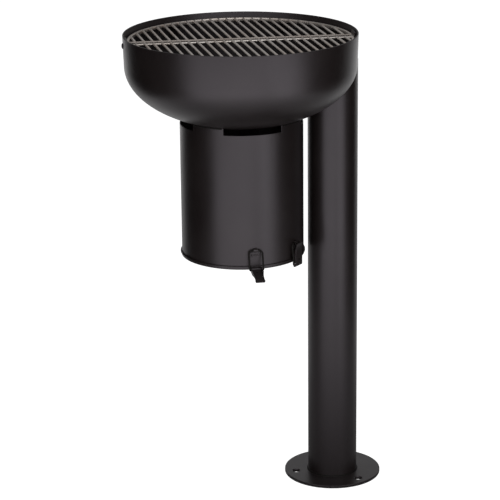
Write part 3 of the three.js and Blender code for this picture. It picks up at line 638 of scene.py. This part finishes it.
centre = (DRUM_RADIUS + DRUM_BEAD_OUT, on_round(DRUM_RADIUS) - DRUM_BEAD_DOWN)
circle = []
for i in range(DRUM_BEAD_SIDES):
    angle = i * math.tau / DRUM_BEAD_SIDES
    out, up = DRUM_BEAD_RADIUS * math.cos(angle), DRUM_BEAD_RADIUS * math.sin(angle)
    circle.append((centre[0] + out, centre[1] + up))
beads = bmesh.new()
for i in range(NOTCH_COUNT):
    start = math.pi / NOTCH_COUNT + i * math.tau / NOTCH_COUNT - DRUM_BEAD_ANGLE / 2
    take_in(beads, turned(circle, DRUM_BEAD_STEPS, DRUM_BEAD_ANGLE, start))
dress(as_object(beads, "drum_top_welds", BOWL_AXIS), SHADE_BLACK, "grill_frame", crease=ROUND_CREASE)

# %% [markdown]
# The bead between post and bowl follows the line where a round tube meets a round bottom. It is a
# curve with a round section, drawn through points of that line and then made a mesh.

# %% Bead between post and bowl
BEAD_RADIUS = 1.9
BEAD_POINTS = 150
BEAD_END_GAP = math.radians(0.4)

beyond = ROUND_RADIUS ** 2 - POST_RADIUS ** 2 - BOWL_OFFSET ** 2
first = math.acos(beyond / (2 * POST_RADIUS * BOWL_OFFSET)) + BEAD_END_GAP
points = []
for i in range(BEAD_POINTS + 1):
    angle = first + (math.tau - 2 * first) * i / BEAD_POINTS
    x, y = POST_RADIUS * math.cos(angle), POST_RADIUS * math.sin(angle)
    points.append(Vector((x, y, on_round(math.hypot(x + BOWL_OFFSET, y)))) * MM)
line = bpy.data.curves.new("bead line", "CURVE")
line.dimensions = "3D"
line.bevel_depth = BEAD_RADIUS * MM
line.bevel_resolution = 3
line.use_fill_caps = True
spline = line.splines.new("POLY")
spline.points.add(len(points) - 1)
for point, place in zip(spline.points, points):
    point.co = (*place, 1.0)
    point.radius = 1.0
drawn = linked("bead line", line)
bead = linked("post_top_weld", plain_mesh(drawn))
bpy.data.objects.remove(drawn)
dress(bead, SHADE_BLACK, "grill_frame", crease=ROUND_CREASE)

# %% [markdown]
# The ash lid is a pressed cap that closes the drum from below. It is turned like the bowl. Its
# edge is folded out in a hem that the latches hook under, so the hem's corners are rounded as a
# folded sheet's are.

# %% Ash lid
LID = [
    (0.0, 497.0), (123.4, 497.0), (124.4, 497.4), (125.0, 498.6), (125.0, 501.8), (126.4, 501.8),
    (126.4, 504.2), (123.9, 504.2), (123.9, 498.1), (0.0, 498.1),
]
HEM_ROUND = 0.45
lid = as_object(soften(turned(LID, BOWL_STEPS), HEM_ROUND), "ash_lid_cap", BOWL_AXIS)
dress(lid, COAT, "lid", ["ash_lid"])

# %% [markdown]
# Small plates, lugs and hinge leaves already have their right shape in the CAD model. A copy of
# the node is merged, its flat faces are made whole again, and its edges get the small round that a
# stamped sheet has under its paint. The node itself is left alone, and the copy stands for it.

# %% Small fittings from their nodes
FLAT = math.radians(1.0)
NODE_MERGE = 0.001


def fitting(node, name, finish, body, width):
    """A softened copy of a CAD node."""
    bm = bmesh.new()
    bm.from_mesh(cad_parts[node].data)
    bmesh.ops.remove_doubles(bm, verts=bm.verts, dist=NODE_MERGE * MM)
    bmesh.ops.dissolve_limit(bm, angle_limit=FLAT, verts=bm.verts, edges=bm.edges)
    soften(bm, width * MM)
    return dress(linked(name, to_mesh(bm, name)), finish, body, [node])


fitting("fire_grate", "fire_grate_casting", IRON, "grill_frame", 1.1)
for side in ("right", "left"):
    fitting(f"pivot_plate_{side}", f"grate_pivot_plate_{side}", COAT, "grill_frame", 0.6)
    fitting(f"pivot_nut_{side}", f"grate_pivot_nut_{side}", ZINC, "grill_frame", 0.5)
for i in range(1, 5):
    fitting(f"grate_rest_lug_{i}", f"grate_lug_{i}", COAT, "grill_frame", 0.6)
fitting("hinge_leaf_drum", "drum_hinge_leaf", COAT, "grill_frame", 0.3)
fitting("hinge_leaf_lid", "lid_hinge_leaf", COAT, "lid", 0.3)
for side in ("front", "right"):
    fitting(f"latch_{side}_saddle", f"{side}_latch_saddle", COAT, "grill_frame", 0.25)
    fitting(f"latch_{side}_lever", f"{side}_latch_lever", COAT, f"{side}_lever", 0.3)

# %% [markdown]
# Rivets, bolts and the pin are turned too, with enough steps to look round close up. The rivet's
# two heads are low domes; the pivot bolt has a domed head outside the bowl.

# %% Rivets, bolts and pin
LATCH_POLAR = {"front": math.radians(-90), "right": math.radians(-45)}
HINGE_POLAR = math.radians(115)
SMALL_STEPS = 32
TO_X = Matrix.Rotation(math.pi / 2, 4, "Y")
TO_Y = Matrix.Rotation(math.pi / 2, 4, "X")


def dome(radius, base, height, count=5):
    """A low dome's section from its edge to the axis."""
    angles = [math.pi / 2 * i / count for i in range(count + 1)]
    return [(radius * math.cos(a), base + height * math.sin(a)) for a in angles]


RIVET_SHANK = 1.5
RIVET_HEAD = 2.5
RIVET_RISE = 1.3
RIVET_GAP = 0.3


def rivet(name, node, body, place, inside, outside):
    """A rivet along X that grips from one face to another."""
    inner, outer = inside - RIVET_GAP, outside + RIVET_GAP
    bottom = [(r, -h) for r, h in dome(RIVET_HEAD, -inner, RIVET_RISE)][::-1]
    shank = [(RIVET_SHANK, inner), (RIVET_SHANK, outer)]
    section = bottom + shank + dome(RIVET_HEAD, outer, RIVET_RISE)
    piece = as_object(turned(section, SMALL_STEPS), name, place @ TO_X)
    return dress(piece, COAT, body, [node])


SADDLE_RIVET_HEIGHT = 527.0
SADDLE_RIVET_PLACES = (-6.0, 0.0, 6.0)
SADDLE_RIVET_ROOM = 0.15
SADDLE_FACE = 125.0
for side, polar in LATCH_POLAR.items():
    for i, y in enumerate(SADDLE_RIVET_PLACES, 1):
        inside = math.sqrt(DRUM_BORE ** 2 - (abs(y) + RIVET_HEAD) ** 2)
        place = around_bowl(polar, (0, y, SADDLE_RIVET_HEIGHT))
        name, node = f"{side}_latch_rivet_{i}", f"latch_{side}_rivet_{i}"
        rivet(name, node, "grill_frame", place, inside - SADDLE_RIVET_ROOM, SADDLE_FACE)

LEAF_RIVET_HEIGHT = 521.3
LEAF_FACE = 125.3
for i, y in enumerate((-13.0, 13.0), 1):
    place = around_bowl(HINGE_POLAR + math.asin(y / DRUM_RADIUS), (0, 0, LEAF_RIVET_HEIGHT))
    name, node = f"drum_hinge_rivet_{i}", f"hinge_rivet_drum_{i}"
    rivet(name, node, "grill_frame", place, DRUM_BORE, LEAF_FACE)

LID_INSIDE, LID_LEAF_FACE = -498.1, -495.2
for i, reach in enumerate((99.4, 113.4), 1):
    place = around_bowl(HINGE_POLAR, (reach, 0, 0)) @ TO_X
    name, node = f"lid_hinge_rivet_{i}", f"hinge_rivet_lid_{i}"
    rivet(name, node, "lid", place, LID_INSIDE, LID_LEAF_FACE)

BOLT_HEIGHT = 930.0
BOLT = [(0.0, 217.9), (2.4, 217.9), (3.0, 218.6), (3.0, 232.8), (5.5, 232.8)]
BOLT += dome(5.5, 233.3, 2.1)
for side, angle in (("right", 0.0), ("left", math.pi)):
    place = around_bowl(GRATE_TURN + angle, (0, 0, BOLT_HEIGHT)) @ TO_X
    piece = as_object(turned(BOLT, SMALL_STEPS), f"grate_pivot_bolt_{side}", place)
    dress(piece, COAT, "grill_frame", [f"pivot_bolt_{side}"])

PIN_REACH, PIN_HEIGHT = 130.4, 505.7
PIN = [
    (0.0, -21.8), (2.5, -21.8), (2.9, -21.4), (2.9, -20.3), (1.8, -20.3),
    (1.8, 20.3), (2.9, 20.3), (2.9, 21.4), (2.5, 21.8), (0.0, 21.8),
]
place = around_bowl(HINGE_POLAR, (PIN_REACH, 0, PIN_HEIGHT)) @ TO_Y
pin = as_object(turned(PIN, SMALL_STEPS), "hinge_pin_rod", place)
dress(pin, ZINC, "grill_frame", ["hinge_pin"])

# %% [markdown]
# Each latch's bail is one bent wire. It is made as a bender makes it: a round end is pushed out
# straight, then spun about the inside of each corner, and pushed straight again.

# %% Latch bails
WIRE_RADIUS = 1.75
BAIL_LEG = 13.75
BAIL_LENGTH = 38.69
BAIL_FOOT = 9.2
BAIL_CORNER = 7.0
FOOT_CORNER = 2.4
BAIL_RADIUS, BAIL_HEIGHT = 127.15, 536.7
BAIL_LEAN = math.radians(5.71)
BAIL_SHARE = 0.085
LEVER_TURN = {"front": math.radians(112), "right": 0.0}
BAIL_SIDE = [
    ("push", BAIL_LEG - FOOT_CORNER - BAIL_FOOT), ("bend", FOOT_CORNER),
    ("push", BAIL_LENGTH - FOOT_CORNER - BAIL_CORNER), ("bend", BAIL_CORNER),
]
BAIL_BENDS = BAIL_SIDE + [("push", 2 * (BAIL_LEG - BAIL_CORNER))] + BAIL_SIDE[::-1]


def bent_wire(bends, start, radius, sides=16, steps=10):
    """A wire in the Y-Z plane that starts towards -Y and turns right at each bend."""
    bm = bmesh.new()
    place = Matrix.Translation(start) @ TO_Y
    bmesh.ops.create_circle(bm, segments=sides, radius=radius, matrix=place)
    end = set(bm.verts)
    at, heading = Vector(start), Vector((0.0, -1.0, 0.0))
    for kind, size in bends:
        loop = [edge for edge in bm.edges if edge.verts[0] in end and edge.verts[1] in end]
        if kind == "push":
            made = bmesh.ops.extrude_edge_only(bm, edges=loop)["geom"]
            end = {item for item in made if isinstance(item, bmesh.types.BMVert)}
            bmesh.ops.translate(bm, verts=list(end), vec=heading * size)
            at += heading * size
        else:
            across = Matrix.Rotation(-math.pi / 2, 3, "X") @ heading
            centre = at + across * size
            made = bmesh.ops.spin(
                bm, geom=list(end) + loop, cent=centre, axis=(1, 0, 0), angle=-math.pi / 2,
                steps=steps,
            )["geom_last"]
            end = {item for item in made if isinstance(item, bmesh.types.BMVert)}
            at, heading = centre + heading * size, across
    bmesh.ops.remove_doubles(bm, verts=bm.verts, dist=MERGE)
    bmesh.ops.holes_fill(bm, edges=bm.edges, sides=sides)
    bmesh.ops.recalc_face_normals(bm, faces=bm.faces)
    return bm


def latch_place(side):
    """The top of a latch's bail, swung as it hangs at rest."""
    swing = Matrix.Rotation(-BAIL_LEAN - LEVER_TURN[side] * BAIL_SHARE, 4, "Y")
    return around_bowl(LATCH_POLAR[side], (BAIL_RADIUS, 0, BAIL_HEIGHT)) @ swing


for side in LATCH_POLAR:
    wire = bent_wire(BAIL_BENDS, (0.0, -BAIL_FOOT, -BAIL_LENGTH), WIRE_RADIUS)
    wire = as_object(wire, f"{side}_latch_bail_wire", latch_place(side))
    dress(wire, SHADE_BLACK, f"{side}_bail", [f"latch_{side}_bail"], ROUND_CREASE)

# %% [markdown]
# The small hole in each lever's back isn't bored through: the photograph shows a dark spot there
# and no daylight. A domed plug sits in it, as where a spring pin is pressed in.

# %% Plugs in the levers
PLUG = [(0.0, 2.7), (2.15, 2.7), (2.15, 3.5)] + dome(1.8, 3.6, 0.3)
PLUG_RISE = 4.8
for side in LATCH_POLAR:
    foot = latch_place(side) @ Matrix.Translation((0, 0, -BAIL_LENGTH))
    turn = Matrix.Rotation(BAIL_LEAN + LEVER_TURN[side], 4, "Y")
    place = foot @ turn @ Matrix.Translation((0, 0, PLUG_RISE)) @ TO_X
    plug = as_object(turned(PLUG, SMALL_STEPS), f"{side}_latch_lever_plug", place)
    # Painted shade: the plug gets the deeper black, so that the lever's hole looks as dark as a
    # shaded hole.
    dress(plug, SHADE_BLACK, f"{side}_lever")

# %% [markdown]
# Each half of the cooking grate is welded from rod: a straight rod with a stub at each end that it
# folds about, a half ring, and parallel bars from the rod to the ring. Small weld nuggets sit
# where the bars meet the rod and the ring, and they round the corners of the gaps. The bars could
# be cut to the ring with a Boolean, but working out each length from the ring's circle leaves a
# cleaner mesh.

# %% The cooking grate's sizes
ROD_HEIGHT = 933.5
ROD_RADIUS = 2.1
ROD_OFFSET = 11.9
FOLD_OFFSET = 10.0
ROD_END = 224.5
ROD_SIDES, ROD_ROUND = 20, 0.8
SPIGOT_RADIUS = 3.0
SPIGOT_END = 227.5
SPIGOT_SIDES, SPIGOT_ROUND = 16, 0.5
RING_WIDTH = 5.0
RING_TOP = 936.9
RING_BOTTOM = 929.5
RING_EDGE = 0.9
RING_STEPS = 90
BAR_RADIUS = 2.5
BAR_SIDES, BAR_ROUND = 12, 1.2
BAR_PITCH = 17.3
BAR_COUNT = 25
BAR_SKEW = math.radians(5)
BAR_HEIGHT = 937.2 - BAR_RADIUS
BAR_OVERLAP = 1.4
NUGGET = (3.6, 2.2, 1.7)
NUGGET_INSET = 0.6
NUGGET_SINK = 0.8
print("bars in each half:", BAR_COUNT)


# %% Rods and half grates
def rod(bm, radius, start, end, sides, rounding):
    """Adds a round rod between two points to a bmesh, its ends rounded."""
    start, end = Vector(start), Vector(end)
    along = end - start
    verts = bmesh.ops.create_cone(
        bm, cap_ends=True, segments=sides, radius1=radius, radius2=radius, depth=along.length,
    )["verts"]
    edges = {edge for vert in verts for edge in vert.link_edges}
    rims = [edge for edge in edges if any(len(face.verts) > 4 for face in edge.link_faces)]
    turn = along.to_track_quat("Z", "Y").to_matrix().to_4x4()
    bmesh.ops.transform(bm, verts=verts, matrix=Matrix.Translation((start + end) / 2) @ turn)
    rounded(bm, rims, rounding, 2)


def grate_half():
    """The wires of one half, as a bmesh about the bowl's axis."""
    bm = bmesh.new()
    left, right = (-ROD_END, ROD_OFFSET, ROD_HEIGHT), (ROD_END, ROD_OFFSET, ROD_HEIGHT)
    rod(bm, ROD_RADIUS, left, right, ROD_SIDES, ROD_ROUND)
    inner = ROD_END - RING_WIDTH
    for end in (-1, 1):
        near = (end * inner, FOLD_OFFSET, ROD_HEIGHT)
        far = (end * SPIGOT_END, FOLD_OFFSET, ROD_HEIGHT)
        rod(bm, SPIGOT_RADIUS, near, far, SPIGOT_SIDES, SPIGOT_ROUND)
    start = math.asin(ROD_OFFSET / ROD_END)
    section = ring_section(inner, ROD_END, RING_BOTTOM, RING_TOP)
    ring = turned(section, RING_STEPS, math.pi - 2 * start, start)
    take_in(bm, soften(ring, RING_EDGE))
    middle = ROD_END - RING_WIDTH / 2
    along = Vector((-math.sin(BAR_SKEW), math.cos(BAR_SKEW), 0.0))
    for i in range(BAR_COUNT):
        x = (i - (BAR_COUNT - 1) / 2) * BAR_PITCH
        foot = Vector((x, ROD_OFFSET, BAR_HEIGHT))
        ahead = ROD_OFFSET * math.cos(BAR_SKEW) - x * math.sin(BAR_SKEW)
        length = math.sqrt(ahead ** 2 + middle ** 2 - x ** 2 - ROD_OFFSET ** 2) - ahead
        tip = foot + along * (length + BAR_OVERLAP)
        rod(bm, BAR_RADIUS, foot, tip, BAR_SIDES, BAR_ROUND)
        for reach in (ROD_RADIUS, length - RING_WIDTH / 2):
            nugget = bmesh.ops.create_icosphere(bm, subdivisions=2, radius=1.0)["verts"]
            place = foot + along * (reach - NUGGET_INSET) - Vector((0, 0, NUGGET_SINK))
            bmesh.ops.scale(bm, verts=nugget, vec=NUGGET)
            bmesh.ops.translate(bm, verts=nugget, vec=place)
    return bm


for side, angle in (("front", math.pi), ("rear", 0.0)):
    wires = as_object(grate_half(), f"{side}_grate_wires", around_bowl(GRATE_TURN + angle))
    dress(wires, STEEL, f"grate_{side}", [f"cooking_grate_{side}"], ROUND_CREASE)

# %% [markdown]
# The floor and the world are white to the camera, by the light path, and a plain grey to
# everything else, so the black coat keeps its depth. The floor keeps a faint shadow near the
# grill. In reflections it is dark at the grill's foot and brighter further out, most of all in
# front.

# %% Floor
FLOOR_SIZE = 24.0
FLOOR_GLOW = 0.97
FLOOR_GREY = 0.38
FLOOR_DROP = 0.5

paving = Finish("pale floor", "")
path = paving.tree.nodes.new("ShaderNodeLightPath")
camera_ray = Varying(paving, path.outputs["Is Camera Ray"])
clear_ray = Varying(paving, path.outputs["Is Transmission Ray"])
glossy_ray = Varying(paving, path.outputs["Is Glossy Ray"])
distance = paving.vector_maths("LENGTH", paving.place, output=1)
across = paving.part(paving.place, 1)
in_front = paving.patches(0 - across, 0.05, 0.6)
behind = paving.patches(across, 0.1, 0.8)
lit = paving.patches(distance, 0.0, 1.15) * (0.30 + 0.55 * in_front + 0.22 * behind)
white = FLOOR_GLOW + (1.0 - FLOOR_GLOW) * paving.patches(distance, 0.9, 1.5)
strength = white * (camera_ray + clear_ray) + lit * glossy_ray
grey = rgb(FLOOR_GREY, FLOOR_GREY, FLOOR_GREY)
plain = paving.add("ShaderNodeBsdfDiffuse", {}, {"Color": grey})
glow = paving.add("ShaderNodeEmission", {}, {"Color": rgb(1, 1, 1), "Strength": strength})
paving.add_output(paving.add("ShaderNodeAddShader", {}, {0: plain, 1: glow}))
floor_mesh = bmesh.new()
bmesh.ops.create_grid(floor_mesh, x_segments=2, y_segments=2, size=FLOOR_SIZE / MM / 2)
floor = as_object(floor_mesh, "studio_floor", Matrix.Translation((0, 0, -FLOOR_DROP)))
floor.data.materials.append(paving.material)
print("floor of", FLOOR_SIZE, "m")

# %% World
AMBIENT = 0.24
GLOSS_SHARE = 0.074

world = bpy.data.worlds.new("studio")
bpy.context.scene.world = world
world.use_nodes = True
tree = world.node_tree
tree.nodes.clear()
path = tree.nodes.new("ShaderNodeLightPath")
background = tree.nodes.new("ShaderNodeBackground")
background.inputs["Color"].default_value = rgb(1, 1, 1)
output = tree.nodes.new("ShaderNodeOutputWorld")
level = tree.nodes.new("ShaderNodeMapRange")
level.inputs["To Min"].default_value = AMBIENT
level.inputs["To Max"].default_value = 1.0
both = tree.nodes.new("ShaderNodeMath")
both.operation = "ADD"
share = tree.nodes.new("ShaderNodeMath")
share.operation = "MULTIPLY_ADD"
share.inputs[1].default_value = GLOSS_SHARE
tree.links.new(path.outputs["Is Camera Ray"], both.inputs[0])
tree.links.new(path.outputs["Is Transmission Ray"], both.inputs[1])
tree.links.new(path.outputs["Is Glossy Ray"], share.inputs[0])
tree.links.new(both.outputs[0], share.inputs[2])
tree.links.new(share.outputs[0], level.inputs["Value"])
tree.links.new(level.outputs[0], background.inputs["Strength"])
tree.links.new(background.outputs[0], output.inputs["Surface"])
print("ambient level:", AMBIENT)

# %% [markdown]
# Three tall soft panels stand in front, one hangs above and a low one lies behind. Two dark cards
# at the sides are seen only in reflections: they give the round pieces the dark bands beside their
# bright middle that photographers use to show a cylinder's shape. A picture of a studio round the
# scene would do as well, but panels can be moved one at a time until each band is in its place.

# %% Lights
STUDIO_TURN = math.radians(-12.4)
STUDIO_MIDDLE = Vector((-0.10, 0.0, 0.0))


def around_studio(azimuth, distance, height):
    """A place round the grill. Azimuth 0 is towards the camera and grows to its right."""
    angle = STUDIO_TURN + azimuth
    out = Vector((math.sin(angle), -math.cos(angle), 0.0)) * distance
    return STUDIO_MIDDLE + out + Vector((0.0, 0.0, height))


def soft_light(name, place, target, width, height, level, lean=0.0):
    """An area light whose surface is as bright as level, where 1 renders white."""
    light = bpy.data.lights.new(name, "AREA")
    light.shape = "RECTANGLE"
    light.size, light.size_y = width, height
    light.energy = level * math.pi * width * height
    lamp = linked(name, light)
    lamp.location = place
    facing = (Vector(target) - Vector(place)).to_track_quat("-Z", "Y").to_matrix()
    lamp.rotation_euler = (facing @ Matrix.Rotation(lean, 3, "Z")).to_euler()
    lamp.visible_camera = False
    print(f"{name}: level {level}")


# Each panel's azimuth, level, width and lean to one side.
PANELS = [(-34, 0.82, 0.60, 0), (1, 0.94, 0.66, 0), (33, 1.22, 0.62, 14)]
PANEL_DISTANCE = 1.0
PANEL_HEIGHT = 2.3
PANEL_MIDDLE = 1.17
for i, (azimuth, level, width, lean) in enumerate(PANELS):
    place = around_studio(math.radians(azimuth), PANEL_DISTANCE, PANEL_MIDDLE)
    target = around_studio(0, 0, PANEL_MIDDLE)
    soft_light(f"front_panel_{i}", place, target, width, PANEL_HEIGHT, level, math.radians(lean))
place, target = around_studio(0, 0.2, 2.6), around_studio(0, 0, 0.9)
soft_light("top_light", place, target, 2.2, 1.8, 0.3)
place, target = around_studio(math.pi, 2.4, 0.36), around_studio(0, 0, 0.36)
soft_light("back_light", place, target, 3.6, 0.66, 0.7)

# %% Dark cards
CARDS = [("left_card", -89, 1.80), ("right_card", 87, 1.62)]
CARD_DISTANCE = 1.1
CARD_MIDDLE = 0.7
CARD_HEIGHT = 1.4
HALF_METRE = 500.0

black_card = Finish("black card", "")
black = {"Color": rgb(0.004, 0.004, 0.004)}
black_card.add_output(black_card.add("ShaderNodeBsdfDiffuse", {}, black))
for name, azimuth, width in CARDS:
    card_mesh = bmesh.new()
    bmesh.ops.create_grid(card_mesh, x_segments=1, y_segments=1, size=HALF_METRE)
    place = around_studio(math.radians(azimuth), CARD_DISTANCE, CARD_MIDDLE)
    inward = around_studio(0, 0, CARD_MIDDLE) - place
    facing = inward.to_track_quat("Z", "Y").to_matrix().to_4x4()
    sized = Matrix.Diagonal((width, CARD_HEIGHT, 1.0, 1.0))
    card = as_object(card_mesh, name, Matrix.Translation(place / MM) @ facing @ sized)
    card.data.materials.append(black_card.material)
    for ray in ("camera", "diffuse", "transmission", "shadow"):
        setattr(card, f"visible_{ray}", False)
    print(f"{name}: {width} m wide")

# %% [markdown]
# Colours are shown as they are written, with no film look.

# %% Colour view
bpy.context.scene.view_settings.view_transform = "Standard"
